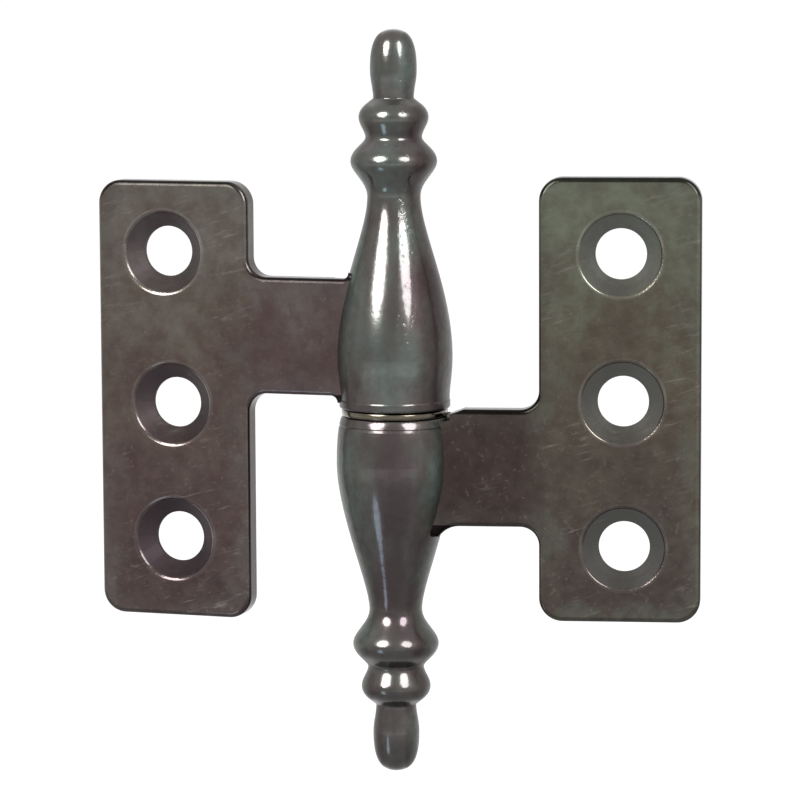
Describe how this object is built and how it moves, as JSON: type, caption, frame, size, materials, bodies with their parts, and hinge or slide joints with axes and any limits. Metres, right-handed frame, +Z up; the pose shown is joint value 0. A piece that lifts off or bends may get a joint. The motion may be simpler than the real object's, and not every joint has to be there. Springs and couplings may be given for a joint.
{
  "type": "decorative lift-off hinge",
  "caption": "Lift-off decorative hinge: flat countersunk screw leaves on olive-shaped turned knuckles with finials, pivoting on a fixed pin with a washer.",
  "frame": {"origin": "middle of the frame leaf's outer screw holes, on the leaf's back face", "axes": "+Z up along the pin, +Y out of the frame leaf's back towards what it is screwed to, +X from the pin towards the frame leaf's outer edge"},
  "size_m": [0.0601, 0.0115, 0.0734],
  "materials": {
    "burnished_leaf": "burnished dark bronze, satin",
    "burnished_knuckle": "burnished dark bronze, glossy",
    "pin_steel": "bright drawn steel",
    "washer_brass": "tarnished turned brass"
  },
  "bodies": {
    "frame_half": {"frame_leaf": "burnished_leaf", "frame_knuckle": "burnished_knuckle", "hinge_pin": "pin_steel"},
    "washer_ring": {"washer": "washer_brass"},
    "door_half": {"door_knuckle": "burnished_knuckle", "door_leaf": "burnished_leaf"}
  },
  "joints": [
    {"name": "swing", "type": "hinge", "parent": "frame_half", "child": "washer_ring", "pos_m": [-0.02245, 0.00075, -0.00175], "axis": [0, 0, 1], "range_deg": [-168, 168]},
    {"name": "lift_off", "type": "slide", "parent": "washer_ring", "child": "door_half", "axis": [0, 0, 1], "range_m": [0, 0.02]}
  ]
}
